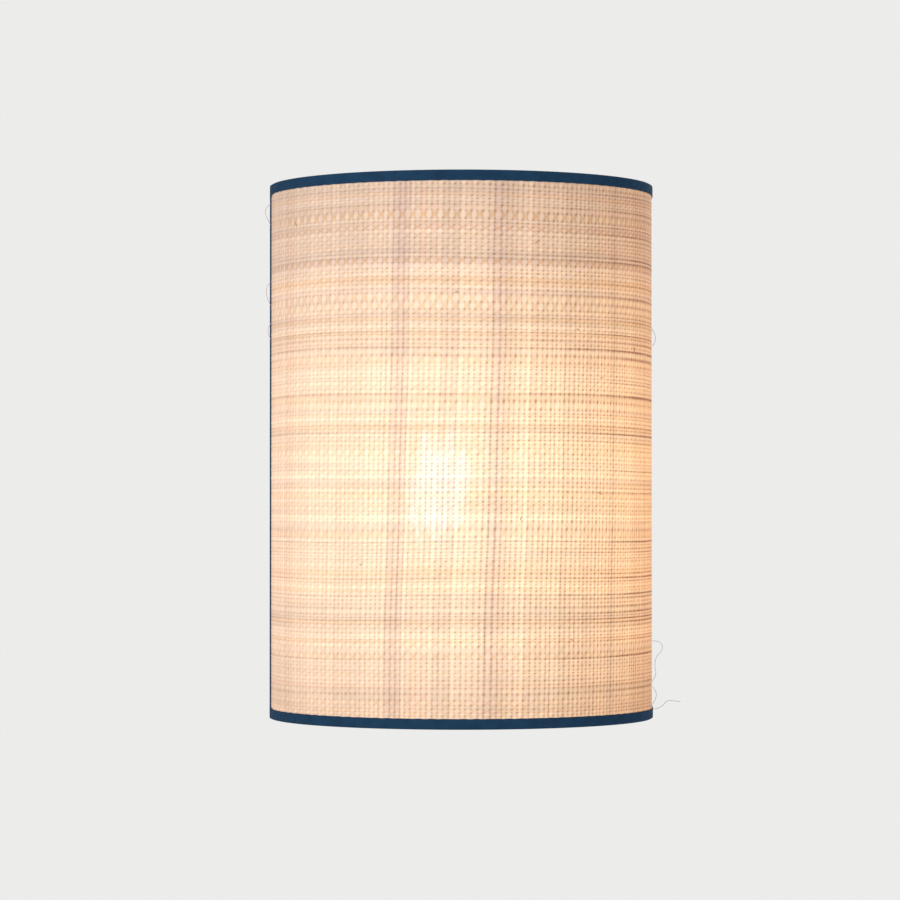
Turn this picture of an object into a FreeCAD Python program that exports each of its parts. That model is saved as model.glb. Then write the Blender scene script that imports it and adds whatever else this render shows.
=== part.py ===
import FreeCAD, Part
import math
import os
import re
import Sketcher

# Half-round raffia wall lamp, in millimetres.
# The wall is the plane y = 0, the room lies towards -Y, +X is to the right and +Z is up.
# The origin is the middle of the wall plate's back face, level with the middle of the shade.

os.makedirs("parts", exist_ok=True)
doc = FreeCAD.newDocument("raffia_wall_lamp")
sheet = doc.addObject("Spreadsheet::Sheet", "Sizes")
Vector = FreeCAD.Vector

SIZES = {
    # Shade: a woven cover on a stiff liner, bound with folded tape round a wire frame
    "shade_height": 300,
    "shade_radius": 108,
    "raffia_thickness": 0.7,
    "liner_thickness": 0.4,
    "glue_gap": 0.1,
    "binding_thickness": 0.5,
    "binding_leg": 6,
    "wire_diameter": 4,
    "weld_gap": 0.1,
    "snip_clearance": 0.4,
    "wall_gap": 1,
    # Wall plate: folded steel with two hooks that carry the shade's hanging bar
    "sheet_thickness": 1.5,
    "bend_radius": 1.5,
    "plate_width": 136,
    "plate_drop": 52,
    "bottom_lip": 8,
    "shelf_height": 50,
    "hook_lip": 9,
    "hook_width": 26,
    "hook_clearance": 0.4,
    "seat_gap": 0.3,
    "slot_spacing": 100,
    "slot_length": 12,
    "slot_width": 5,
    "slot_height": 34,
    "screw_gap": 0.05,
    # Cable bushing, pressed into the plate
    "cable_diameter": 8,
    "bushing_wall": 2,
    "bushing_flange": 2.5,
    "bushing_depth": 1.8,
    "bushing_gap": 0.1,
    "cable_across": 32,
    "cable_height": 30,
    # Lampholder bracket: a folded angle screwed to the plate
    "lamp_out": 50,
    "lamp_drop": 20,
    "bracket_height": 44,
    "bracket_foot": 28,
    "bracket_screw_spacing": 26,
    "bracket_screw_inset": 20,
    "bracket_screw_diameter": 4,
    "bracket_head_diameter": 7.6,
    "bracket_head_height": 2.4,
    "bracket_hole_gap": 0.2,
    # Hollow threaded tube, washer and nut that hold the lampholder to the bracket
    "nipple_diameter": 10,
    "nipple_bore": 7,
    "nipple_reach": 6,
    "nipple_gap": 0.1,
    "washer_diameter": 18,
    "washer_thickness": 0.8,
    "nut_width": 13,
    "nut_height": 3,
    # Lampholder for a 27 mm screw cap
    "holder_diameter": 39,
    "holder_length": 57,
    "holder_wall": 2,
    "base_length": 24,
    "base_taper": 12,
    "base_crown": 14,
    "hub_diameter": 22,
    "hub_depth": 9,
    "spigot_length": 8,
    "fit_gap": 0.15,
    "insert_flange": 3,
    "insert_face": 26,
    "sleeve_length": 20,
    "sleeve_thickness": 0.4,
    "thread_clearance": 0.45,
    "contact_strip": 0.5,
    "contact_width": 5,
    "contact_foot": 5,
    "contact_rise": 3,
    "contact_spring": 2,
    "contact_gap": 0.3,
    # Bulb with an opal globe, 60 mm across
    "bulb_diameter": 60,
    "bulb_length": 108,
    "globe_wall": 1.2,
    "seam_radius": 24,
    "seam_gap": 0.3,
    "rim_wall": 4,
    "rim_depth": 3,
    "flare_radius": 53,
    "neck_radius": 13.6,
    "neck_length": 2,
    "housing_tail": 8,
    "board_thickness": 1.4,
    "chip_size": 3,
    "chip_height": 0.7,
    "chip_circle": 13,
    "chip_count": 8,
    "cap_diameter": 26.2,
    "cap_length": 21,
    "cap_thickness": 0.4,
    "insulator_height": 3.5,
    "insulator_nose": 7,
    "insulator_tail": 2,
    "tip_radius": 4.8,
    "tip_height": 1.5,
    # Terminal block, three poles one above the other
    "block_height": 18,
    "block_width": 18,
    "block_depth": 13,
    "pole_pitch": 9.5,
    "pole_height": 6.5,
    "barrel_diameter": 5.2,
    "barrel_bore": 3.2,
    "barrel_gap": 0.1,
    "clamp_spacing": 9,
    "clamp_diameter": 2.8,
    "clamp_length": 3.4,
    "well_diameter": 4,
    "block_screw_diameter": 3,
    "block_head_diameter": 5.4,
    "block_head_height": 1.8,
    # Wires and earth connection
    "lead_diameter": 2.2,
    "lead_pitch": 3.2,
    "earth_across": 34,
    "earth_screw_diameter": 4,
    "earth_head_diameter": 7,
    "earth_head_height": 2.4,
    "tag_diameter": 8,
    "tag_thickness": 0.8,
    "crimp_diameter": 3.8,
    "crimp_bore": 2.4,
    "crimp_length": 7,
    "crimp_reach": 5,
}

# Places and sizes that follow from the driving ones
PLACES = {
    "half_height": "shade_height / 2",
    "panel_height": "shade_height - 2 * (binding_thickness + glue_gap)",
    "liner_outer": "shade_radius - raffia_thickness - glue_gap",
    "liner_inner": "liner_outer - liner_thickness",
    "wire_radius": "wire_diameter / 2",
    "ring_radius": "liner_inner - glue_gap - wire_radius",
    "ring_height": "half_height - binding_thickness - glue_gap - wire_radius",
    "upright_end": "ring_height - wire_radius - weld_gap",
    "shade_axis": "-(wall_gap + glue_gap + binding_thickness)",
    "wrap_inner": "wire_radius + glue_gap",
    "wrap_outer": "wrap_inner + binding_thickness",
    "binding_inner": "shade_radius + glue_gap",
    "binding_outer": "binding_inner + binding_thickness",
    "leg_height": "half_height - binding_leg",
    "bar_height": "shelf_height + seat_gap + wire_radius",
    "bend_outer": "bend_radius + sheet_thickness",
    "lip_inner": "shade_axis - wire_diameter - hook_clearance",
    "shelf_edge": "shelf_height - bend_outer",
    "half_plate": "plate_width / 2",
    "bracket_face": "half_plate - sheet_thickness",
    "half_bracket": "bracket_height / 2",
    "bracket_root": "sheet_thickness + bend_outer",
    "bracket_screw_x": "half_plate - bracket_screw_inset",
    "holder_radius": "holder_diameter / 2",
    "cup_radius": "holder_radius - holder_wall",
    "spigot_outer": "cup_radius - fit_gap",
    "spigot_inner": "spigot_outer - holder_wall",
    "spigot_start": "base_length - spigot_length",
    "insert_back": "spigot_start - insert_flange",
    "cap_radius": "cap_diameter / 2",
    "cap_inner": "cap_radius - cap_thickness",
    "sleeve_inner": "cap_radius + thread_clearance",
    "contact_top": "insert_face + contact_spring",
    "bulb_seat": "contact_top + contact_gap",
    "globe_radius": "bulb_diameter / 2",
    "globe_inner": "globe_radius - globe_wall",
    "globe_middle": "bulb_length - globe_radius",
    "seam_drop": "sqrt(globe_radius * globe_radius - seam_radius * seam_radius)",
    "seam_place": "globe_middle - seam_drop",
    "seam_inner": "sqrt(globe_inner * globe_inner - seam_drop * seam_drop)",
    "rim_top": "seam_place - seam_gap",
    "rim_inner": "seam_radius - rim_wall",
    "board_seat": "seam_place - rim_depth",
    "cap_start": "tip_height + insulator_height",
    "cap_end": "cap_start + cap_length",
    "block_front": "sheet_thickness + block_depth",
    "pole_out": "sheet_thickness + pole_height",
    "clamp_tip": "pole_out + lead_diameter / 2 + fit_gap",
    "earth_height": "block_height + pole_pitch",
    "crimp_out": "sheet_thickness + crimp_diameter / 2",
}

for row, (name, number) in enumerate(SIZES.items(), start=1):
    sheet.set(f"A{row}", name.replace("_", " "))
    sheet.set(f"B{row}", str(number))
    sheet.setAlias(f"B{row}", name)
doc.recompute()


def full(formula):
    """Write a formula of size and place names in terms of the sheet's cells."""
    def swap(match):
        word = match.group(0)
        if word in SIZES:
            return "Sizes." + word
        if word in PLACES:
            return "(" + full(PLACES[word]) + ")"
        return word
    return re.sub(r"[a-z_]+", swap, formula)


def size(formula):
    """A formula's present value."""
    return float(sheet.evalExpression(full(formula)))


NODES = []


def place(piece, x, y, z, turn=FreeCAD.Rotation()):
    piece.Placement = FreeCAD.Placement(Vector(size(x), size(y), size(z)), turn)
    piece.setExpression("Placement.Base.x", full(x))
    piece.setExpression("Placement.Base.y", full(y))
    piece.setExpression("Placement.Base.z", full(z))


def name_node(piece, label):
    piece.Label = label
    NODES.append(piece)
    return piece


def new_body(label, x="0", y="0", z="0", turn=FreeCAD.Rotation()):
    piece = doc.addObject("PartDesign::Body", label)
    place(piece, x, y, z, turn)
    return name_node(piece, label)


def new_sketch(body, plane, offset="0"):
    drawing = body.newObject("Sketcher::SketchObject", body.Name + "_sketch")
    origin = {feature.Role: feature for feature in body.Origin.OriginFeatures}
    drawing.AttachmentSupport = [(origin[plane], "")]
    drawing.MapMode = "FlatFace"
    drawing.setExpression("AttachmentOffset.Base.z", full(offset))
    return drawing


def pin_point(drawing, edge, end, x, y):
    """Tie a point of the sketch to formulas for its two coordinates."""
    for kind, formula in (("DistanceX", x), ("DistanceY", y)):
        number = drawing.addConstraint(Sketcher.Constraint(kind, -1, 1, edge, end, size(formula)))
        drawing.setExpression(f"Constraints[{number}]", full(formula))


def set_radius(drawing, edge, radius):
    number = drawing.addConstraint(Sketcher.Constraint("Radius", edge, size(radius)))
    drawing.setExpression(f"Constraints[{number}]", full(radius))


def draw_circle(drawing, x, y, radius):
    centre = Vector(size(x), size(y), 0)
    edge = drawing.addGeometry(Part.Circle(centre, Vector(0, 0, 1), size(radius)), False)
    pin_point(drawing, edge, 3, x, y)
    set_radius(drawing, edge, radius)


def arc_between(start, end, radius, turn):
    """The short arc between two points, turning left or right on the way."""
    if turn == "right":
        start, end = end, start
    chord = end - start
    rise = (radius ** 2 - (chord.Length / 2) ** 2) ** 0.5
    side = Vector(-chord.y, chord.x, 0).normalize()
    centre = (start + end) * 0.5 + side * rise
    top = centre - side * radius
    return Part.Arc(start, top, end)


def draw_outline(drawing, corners):
    """A closed outline. A corner is (x, y), or (x, y, radius, turn) where an arc leads on from it."""
    points = [Vector(size(corner[0]), size(corner[1]), 0) for corner in corners]
    edges = []
    for here, corner in enumerate(corners):
        start = points[here]
        end = points[(here + 1) % len(points)]
        if len(corner) == 2:
            edge = drawing.addGeometry(Part.LineSegment(start, end), False)
            edges.append((edge, 1, 2))
        else:
            edge = drawing.addGeometry(arc_between(start, end, size(corner[2]), corner[3]), False)
            edges.append((edge, 1, 2) if corner[3] == "left" else (edge, 2, 1))
    for here, (edge, first, last) in enumerate(edges):
        following = edges[(here + 1) % len(edges)]
        drawing.addConstraint(Sketcher.Constraint("Coincident", edge, last, following[0], following[1]))
    for (edge, first, last), corner in zip(edges, corners):
        pin_point(drawing, edge, first, corner[0], corner[1])
        if len(corner) == 4:
            set_radius(drawing, edge, corner[2])


def draw_box(drawing, x_low, x_high, y_low, y_high):
    draw_outline(drawing, [(x_low, y_low), (x_high, y_low), (x_high, y_high), (x_low, y_high)])


def draw_slot(drawing, x, y):
    """A round-ended slot for a wall screw, lying along the sketch's first axis."""
    left = f"{x} - (slot_length - slot_width) / 2"
    right = f"{x} + (slot_length - slot_width) / 2"
    half = "slot_width / 2"
    draw_outline(drawing, [
        (left, f"{y} - {half}"),
        (right, f"{y} - {half}", half, "left"),
        (f"{right} + {half}", y, half, "left"),
        (right, f"{y} + {half}"),
        (left, f"{y} + {half}", half, "left"),
        (f"{left} - {half}", y, half, "left"),
    ])


def pad(body, drawing, length, symmetric=False):
    feature = body.newObject("PartDesign::Pad", body.Name + "_pad")
    feature.Profile = drawing
    if symmetric:
        feature.SideType = "Symmetric"
    feature.setExpression("Length", full(length))
    doc.recompute()
    return feature


def pocket(body, drawing, length=None, symmetric=False):
    """Cut a sketch out of a body, right through unless a length is given."""
    before = body.Shape.Volume
    feature = body.newObject("PartDesign::Pocket", body.Name + "_pocket")
    feature.Profile = drawing
    if symmetric:
        feature.SideType = "Symmetric"
    if length is None:
        feature.Type = "ThroughAll"
    else:
        feature.setExpression("Length", full(length))
    doc.recompute()
    if body.Shape.Volume >= before:
        raise RuntimeError(f"a cut in {body.Label} removes nothing")
    return feature


def turned(label, corners, x, y, z, turn, angle=360):
    """A piece turned about its own Z axis from an outline of (radius, height) corners."""
    body = new_body(label, x, y, z, turn)
    drawing = new_sketch(body, "XZ_Plane")
    draw_outline(drawing, corners)
    feature = body.newObject("PartDesign::Revolution", label + "_turn")
    feature.Profile = drawing
    feature.ReferenceAxis = (drawing, ["V_Axis"])
    feature.Angle = angle
    feature.Reversed = True
    doc.recompute()
    return body


def rod(name, radius, length, x, y, z, turn=FreeCAD.Rotation()):
    piece = doc.addObject("Part::Cylinder", name)
    piece.setExpression("Radius", full(radius))
    piece.setExpression("Height", full(length))
    place(piece, x, y, z, turn)
    return piece


def combine(kind, label, base, tool):
    """A Part::Cut or Part::Fuse of two pieces."""
    piece = doc.addObject(kind, label)
    piece.Base = base
    piece.Tool = tool
    return piece


ALONG_X = FreeCAD.Rotation(Vector(0, 1, 0), 90)
TO_ROOM = FreeCAD.Rotation(Vector(1, 0, 0), 90)
TO_LEFT = FreeCAD.Rotation(Vector(0, 1, 0), -90)


# Shade covering: raffia cloth glued to a stiff translucent liner, both bent to a half cylinder

def half_cylinder(label, inner, outer):
    body = new_body(label, "0", "shade_axis", "0")
    drawing = new_sketch(body, "XY_Plane")
    draw_outline(drawing, [
        (f"-({outer})", "0", outer, "left"),
        ("0", f"-({outer})", outer, "left"),
        (outer, "0"),
        (inner, "0", inner, "right"),
        ("0", f"-({inner})", inner, "right"),
        (f"-({inner})", "0"),
    ])
    pad(body, drawing, "panel_height", symmetric=True)


half_cylinder("raffia_cover", "shade_radius - raffia_thickness", "shade_radius")
half_cylinder("shade_liner", "liner_inner", "liner_outer")


# Wire frame: half rings with saddled back bars, butt-welded uprights and a saddled hanging bar

def half_ring(label, height):
    body = new_body(label, "0", "shade_axis", height)
    drawing = new_sketch(body, "XZ_Plane")
    draw_circle(drawing, "ring_radius", "0", "wire_radius")
    feature = body.newObject("PartDesign::Revolution", label + "_turn")
    feature.Profile = drawing
    feature.ReferenceAxis = (drawing, ["V_Axis"])
    feature.Angle = 180
    feature.Reversed = True


def ring_saddle(name, height):
    saddle = doc.addObject("Part::Torus", name)
    saddle.setExpression("Radius1", full("ring_radius"))
    saddle.setExpression("Radius2", full("wire_radius + weld_gap"))
    place(saddle, "0", "shade_axis", height)
    return saddle


for side, height in (("top", "ring_height"), ("bottom", "-ring_height")):
    half_ring(f"{side}_ring", height)
    bar = rod(f"{side}_bar_wire", "wire_radius", "2 * ring_radius",
              "-ring_radius", "shade_axis - wire_radius", height, ALONG_X)
    saddled = combine("Part::Cut", f"{side}_bar_saddled", bar, ring_saddle(f"{side}_bar_saddle", height))
    middle = doc.addObject("Part::Box", f"{side}_bar_span")
    middle.setExpression("Length", full("2 * (ring_radius - wire_radius / 2)"))
    middle.setExpression("Width", full("2 * wire_diameter"))
    middle.setExpression("Height", full("2 * wire_diameter"))
    place(middle, "-(ring_radius - wire_radius / 2)", "shade_axis - wire_radius - wire_diameter",
          f"{height} - wire_diameter")
    name_node(combine("Part::Common", f"{side}_back_bar", saddled, middle), f"{side}_back_bar")

for side, sign in (("left", "-"), ("right", "")):
    name_node(rod(f"{side}_upright", "wire_radius", "2 * upright_end",
                  f"{sign}ring_radius", "shade_axis - wire_radius", "-upright_end"), f"{side}_upright")

hanging_wire = rod("hanging_wire", "wire_radius", "2 * (ring_radius - wire_radius / 2)",
                   "-(ring_radius - wire_radius / 2)", "shade_axis - wire_radius", "bar_height", ALONG_X)
for side, sign in (("left", "-"), ("right", "")):
    saddle = rod(f"{side}_bar_saddle", "wire_radius + weld_gap", "4 * wire_diameter",
                 f"{sign}ring_radius", "shade_axis - wire_radius", "bar_height - 2 * wire_diameter")
    hanging_wire = combine("Part::Cut", f"hanging_bar_{side}", hanging_wire, saddle)
name_node(hanging_wire, "hanging_bar")


# Binding: cotton tape folded over the cover's edge and round the wire, snipped where a bar joins

def rim_binding(label, up):
    """Top or bottom tape, its section drawn at the right-hand end and turned half round."""
    sign = "" if up else "-"
    bend, back = ("left", "right") if up else ("right", "left")
    crown = f"{sign}(half_height - binding_thickness)"
    body = turned(label, [
        ("binding_outer", f"{sign}leg_height"),
        ("binding_outer", crown, "binding_thickness", bend),
        ("binding_inner", f"{sign}half_height"),
        ("ring_radius", f"{sign}half_height", "wrap_outer", bend),
        ("ring_radius - wrap_outer", f"{sign}ring_height"),
        ("ring_radius - wrap_outer", f"{sign}(ring_height - wire_radius)"),
        ("ring_radius - wrap_inner", f"{sign}(ring_height - wire_radius)"),
        ("ring_radius - wrap_inner", f"{sign}ring_height", "wrap_inner", back),
        ("ring_radius", crown),
        ("binding_inner", crown),
        ("binding_inner", f"{sign}leg_height"),
    ], "0", "shade_axis", "0", FreeCAD.Rotation(), 180)
    snip = new_sketch(body, "YZ_Plane")
    draw_box(snip, "-(wire_diameter + snip_clearance)", "wire_diameter",
             f"{sign}(ring_height - wire_diameter)", f"{sign}(ring_height + wire_radius + glue_gap / 2)")
    pocket(body, snip, "2 * (ring_radius - wire_radius / 2)", symmetric=True)


def edge_binding(label, sign):
    """Tape on a wall-side edge: a folded length between the rim tapes, and a flap over the corners."""
    bend, back = ("left", "right") if sign == "" else ("right", "left")
    wire_y = "-wire_radius"
    body = new_body(label, "0", "shade_axis", "0")
    fold = new_sketch(body, "XY_Plane")
    flank = "sqrt({0} * {0} - binding_leg * binding_leg)"
    draw_outline(fold, [
        (sign + flank.format("binding_outer"), "-binding_leg", "binding_outer", bend),
        (f"{sign}binding_outer", "0"),
        (f"{sign}binding_outer", "glue_gap", "binding_thickness", bend),
        (f"{sign}binding_inner", "glue_gap + binding_thickness"),
        (f"{sign}ring_radius", "glue_gap + binding_thickness", "wrap_outer", bend),
        (f"{sign}(ring_radius - wrap_outer)", wire_y),
        (f"{sign}(ring_radius - wrap_outer)", "-wire_diameter"),
        (f"{sign}(ring_radius - wrap_inner)", "-wire_diameter"),
        (f"{sign}(ring_radius - wrap_inner)", wire_y, "wrap_inner", back),
        (f"{sign}ring_radius", "glue_gap"),
        (f"{sign}binding_inner", "glue_gap"),
        (f"{sign}binding_inner", "0", "binding_inner", back),
        (sign + flank.format("binding_inner"), "-binding_leg"),
    ])
    pad(body, fold, "2 * leg_height", symmetric=True)
    flap = new_sketch(body, "XY_Plane")
    draw_box(flap, f"{sign}ring_radius", f"{sign}binding_inner", "glue_gap", "glue_gap + binding_thickness")
    pad(body, flap, "shade_height", symmetric=True)
    snip = new_sketch(body, "YZ_Plane")
    reach = "wire_radius + snip_clearance"
    draw_box(snip, "-(2 * wire_diameter)", "0", f"bar_height - ({reach})", f"bar_height + {reach}")
    pocket(body, snip, "2 * (ring_radius - wire_radius / 2)", symmetric=True)


rim_binding("top_binding", True)
rim_binding("bottom_binding", False)
edge_binding("left_binding", "-")
edge_binding("right_binding", "")


# Wall plate: one folded strip of steel, J-shaped along its top edge, cut back to two hooks

wall_plate = new_body("wall_plate")
section = new_sketch(wall_plate, "YZ_Plane")
draw_outline(section, [
    ("-bottom_lip", "-plate_drop"),
    ("-bend_outer", "-plate_drop", "bend_outer", "left"),
    ("0", "-plate_drop + bend_outer"),
    ("0", "shelf_edge", "bend_outer", "left"),
    ("-bend_outer", "shelf_height"),
    ("lip_inner + bend_radius", "shelf_height", "bend_radius", "right"),
    ("lip_inner", "shelf_height + bend_radius"),
    ("lip_inner", "shelf_height + hook_lip"),
    ("lip_inner - sheet_thickness", "shelf_height + hook_lip"),
    ("lip_inner - sheet_thickness", "shelf_height + bend_radius", "bend_outer", "left"),
    ("lip_inner + bend_radius", "shelf_height - sheet_thickness"),
    ("-bend_outer", "shelf_height - sheet_thickness", "bend_radius", "right"),
    ("-sheet_thickness", "shelf_edge"),
    ("-sheet_thickness", "-plate_drop + bend_outer", "bend_radius", "right"),
    ("-bend_outer", "-plate_drop + sheet_thickness"),
    ("-bottom_lip", "-plate_drop + sheet_thickness"),
])
pad(wall_plate, section, "plate_width", symmetric=True)
opening = new_sketch(wall_plate, "XZ_Plane")
draw_box(opening, "-(half_plate - hook_width)", "half_plate - hook_width",
         "shelf_edge", "shelf_height + hook_lip + sheet_thickness")
pocket(wall_plate, opening, symmetric=True)
holes = new_sketch(wall_plate, "XZ_Plane")
draw_slot(holes, "-slot_spacing / 2", "slot_height")
draw_slot(holes, "slot_spacing / 2", "slot_height")
draw_circle(holes, "-cable_across", "cable_height", "cable_diameter / 2 + bushing_wall + bushing_gap")
draw_circle(holes, "earth_across", "earth_height", "earth_screw_diameter / 2 + screw_gap")
draw_circle(holes, "0", "block_height + pole_pitch / 2", "block_screw_diameter / 2 + screw_gap")
for sign in ("-", "+"):
    draw_circle(holes, "bracket_screw_x", f"-lamp_drop {sign} bracket_screw_spacing / 2",
                "bracket_screw_diameter / 2 + screw_gap")
pocket(wall_plate, holes, symmetric=True)

turned("cable_bushing", [
    ("cable_diameter / 2", "0"),
    ("cable_diameter / 2 + bushing_wall", "0"),
    ("cable_diameter / 2 + bushing_wall", "sheet_thickness"),
    ("cable_diameter / 2 + bushing_wall + bushing_flange", "sheet_thickness"),
    ("cable_diameter / 2 + bushing_wall + bushing_flange", "sheet_thickness + bushing_depth / 2"),
    ("cable_diameter / 2 + bushing_wall", "sheet_thickness + bushing_depth"),
    ("cable_diameter / 2", "sheet_thickness + bushing_depth"),
], "-cable_across", "0", "cable_height", TO_ROOM)


# Lampholder bracket: foot, bend and a round-nosed wing, folded from one strip

bracket = new_body("lampholder_bracket")
foot = new_sketch(bracket, "XZ_Plane", "sheet_thickness")
draw_box(foot, "half_plate - bracket_foot", "half_plate - bend_outer",
         "-lamp_drop - half_bracket", "-lamp_drop + half_bracket")
for sign in ("-", "+"):
    draw_circle(foot, "bracket_screw_x", f"-lamp_drop {sign} bracket_screw_spacing / 2",
                "bracket_screw_diameter / 2 + bracket_hole_gap")
pad(bracket, foot, "sheet_thickness")
bend = new_sketch(bracket, "XY_Plane", "-lamp_drop - half_bracket")
draw_outline(bend, [
    ("half_plate - bend_outer", "-sheet_thickness", "bend_outer", "right"),
    ("half_plate", "-bracket_root"),
    ("bracket_face", "-bracket_root", "bend_radius", "left"),
    ("half_plate - bend_outer", "-2 * sheet_thickness"),
])
pad(bracket, bend, "bracket_height")
wing = new_sketch(bracket, "YZ_Plane", "bracket_face")
draw_outline(wing, [
    ("-bracket_root", "-lamp_drop - half_bracket"),
    ("-lamp_out", "-lamp_drop - half_bracket", "half_bracket", "right"),
    ("-lamp_out - half_bracket", "-lamp_drop", "half_bracket", "right"),
    ("-lamp_out", "-lamp_drop + half_bracket"),
    ("-bracket_root", "-lamp_drop + half_bracket"),
])
draw_circle(wing, "-lamp_out", "-lamp_drop", "nipple_diameter / 2 + nipple_gap")
pad(bracket, wing, "sheet_thickness")


# Screws: plain shanks in the plate's tapped holes, heads on what they hold

def screw(name, x, z, seat, shank, head_diameter, head_height):
    """One screw along Y whose head stands on the plane y = -seat."""
    stem = rod(name + "_shank", f"{shank} / 2", f"{seat} - screw_gap", x, "-screw_gap", z, TO_ROOM)
    head = rod(name + "_head", f"{head_diameter} / 2", head_height, x, f"-({seat})", z, TO_ROOM)
    return combine("Part::Fuse", name, stem, head)


def group(label, pieces):
    compound = doc.addObject("Part::Compound", label)
    compound.Links = pieces
    return name_node(compound, label)


group("bracket_screws", [
    screw(f"bracket_screw_{word}", "bracket_screw_x", f"-lamp_drop {sign} bracket_screw_spacing / 2",
          "2 * sheet_thickness", "bracket_screw_diameter", "bracket_head_diameter", "bracket_head_height")
    for word, sign in (("lower", "-"), ("upper", "+"))
])
name_node(screw("earth_screw", "earth_across", "earth_height", "sheet_thickness + tag_thickness",
                "earth_screw_diameter", "earth_head_diameter", "earth_head_height"), "earth_screw")
name_node(screw("block_screw", "0", "block_height + pole_pitch / 2", "block_front - block_head_height",
                "block_screw_diameter", "block_head_diameter", "block_head_height"), "block_screw")


# Lampholder, all about one axis that runs from the bracket's wing towards the left

HOLDER = ("bracket_face", "-lamp_out", "-lamp_drop", TO_LEFT)

turned("lampholder_base", [
    ("nipple_diameter / 2 + nipple_gap", "0"),
    ("hub_diameter / 2", "0", "base_crown", "left"),
    ("holder_radius", "base_taper"),
    ("holder_radius", "base_length"),
    ("cup_radius", "base_length"),
    ("cup_radius", "insert_back"),
    ("cup_radius - holder_wall", "insert_back"),
    ("cup_radius - holder_wall", "hub_depth"),
    ("nipple_diameter / 2 + nipple_gap", "hub_depth"),
], *HOLDER)
turned("lampholder_insert", [
    ("0", "insert_back"),
    ("spigot_outer", "insert_back"),
    ("spigot_outer", "spigot_start"),
    ("spigot_inner - fit_gap", "spigot_start"),
    ("spigot_inner - fit_gap", "insert_face"),
    ("0", "insert_face"),
], *HOLDER)
turned("lampholder_skirt", [
    ("spigot_inner", "spigot_start"),
    ("spigot_outer", "spigot_start"),
    ("spigot_outer", "base_length"),
    ("holder_radius", "base_length"),
    ("holder_radius", "holder_length - holder_wall / 2", "holder_wall / 2", "left"),
    ("holder_radius - holder_wall / 2", "holder_length", "holder_wall / 2", "left"),
    ("cup_radius", "holder_length - holder_wall / 2"),
    ("cup_radius", "base_length + holder_wall"),
    ("spigot_inner", "base_length + holder_wall"),
], *HOLDER)
turned("screw_sleeve", [
    ("sleeve_inner", "insert_face"),
    ("sleeve_inner + sleeve_thickness", "insert_face"),
    ("sleeve_inner + sleeve_thickness", "insert_face + sleeve_length"),
    ("sleeve_inner", "insert_face + sleeve_length"),
], *HOLDER)

spring = new_body("centre_contact", *HOLDER)
strip = new_sketch(spring, "XZ_Plane")
draw_outline(strip, [
    ("-contact_rise - contact_foot", "insert_face"),
    ("-contact_rise", "insert_face"),
    ("0", "contact_top - contact_strip"),
    ("tip_radius", "contact_top - contact_strip"),
    ("tip_radius", "contact_top"),
    ("-contact_strip / 2", "contact_top"),
    ("-contact_rise - contact_strip / 2", "insert_face + contact_strip"),
    ("-contact_rise - contact_foot", "insert_face + contact_strip"),
])
pad(spring, strip, "contact_width", symmetric=True)

turned("nipple", [
    ("nipple_bore / 2", "-(sheet_thickness + nipple_reach)"),
    ("nipple_diameter / 2", "-(sheet_thickness + nipple_reach)"),
    ("nipple_diameter / 2", "hub_depth"),
    ("nipple_bore / 2", "hub_depth"),
], *HOLDER)
turned("nipple_washer", [
    ("nipple_diameter / 2 + nipple_gap", "-(sheet_thickness + washer_thickness)"),
    ("washer_diameter / 2", "-(sheet_thickness + washer_thickness)"),
    ("washer_diameter / 2", "-sheet_thickness"),
    ("nipple_diameter / 2 + nipple_gap", "-sheet_thickness"),
], *HOLDER)

nut = new_body("nipple_nut", *HOLDER)
hexagon = new_sketch(nut, "XY_Plane", "-(sheet_thickness + washer_thickness + nut_height)")
draw_outline(hexagon, [
    ("nut_width / sqrt(3)", "0"),
    ("nut_width / sqrt(12)", "nut_width / 2"),
    ("-nut_width / sqrt(12)", "nut_width / 2"),
    ("-nut_width / sqrt(3)", "0"),
    ("-nut_width / sqrt(12)", "-nut_width / 2"),
    ("nut_width / sqrt(12)", "-nut_width / 2"),
])
draw_circle(hexagon, "0", "0", "nipple_diameter / 2 + nipple_gap")
pad(nut, hexagon, "nut_height")


# Bulb, measured along the same axis from the tip of its centre contact

BULB = ("bracket_face - bulb_seat", "-lamp_out", "-lamp_drop", TO_LEFT)

turned("bulb_globe", [
    ("seam_radius", "seam_place", "globe_radius", "left"),
    ("globe_radius", "globe_middle", "globe_radius", "left"),
    ("0", "bulb_length"),
    ("0", "bulb_length - globe_wall", "globe_inner", "right"),
    ("globe_inner", "globe_middle", "globe_inner", "right"),
    ("seam_inner", "seam_place"),
], *BULB)
turned("bulb_housing", [
    ("0", "cap_end - housing_tail"),
    ("cap_inner - fit_gap", "cap_end - housing_tail"),
    ("cap_inner - fit_gap", "cap_end"),
    ("neck_radius", "cap_end"),
    ("neck_radius", "cap_end + neck_length", "flare_radius", "right"),
    ("seam_radius", "rim_top"),
    ("rim_inner", "rim_top"),
    ("rim_inner", "board_seat"),
    ("0", "board_seat"),
], *BULB)
turned("bulb_cap", [
    ("cap_inner", "cap_start"),
    ("cap_radius", "cap_start"),
    ("cap_radius", "cap_end"),
    ("cap_inner", "cap_end"),
], *BULB)
turned("bulb_insulator", [
    ("0", "tip_height"),
    ("insulator_nose", "tip_height"),
    ("cap_inner - fit_gap", "cap_start"),
    ("cap_inner - fit_gap", "cap_start + insulator_tail"),
    ("0", "cap_start + insulator_tail"),
], *BULB)
turned("bulb_contact", [
    ("0", "0"),
    ("tip_radius - tip_height / 2", "0", "tip_height / 2", "left"),
    ("tip_radius", "tip_height / 2"),
    ("tip_radius", "tip_height"),
    ("0", "tip_height"),
], *BULB)

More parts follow.
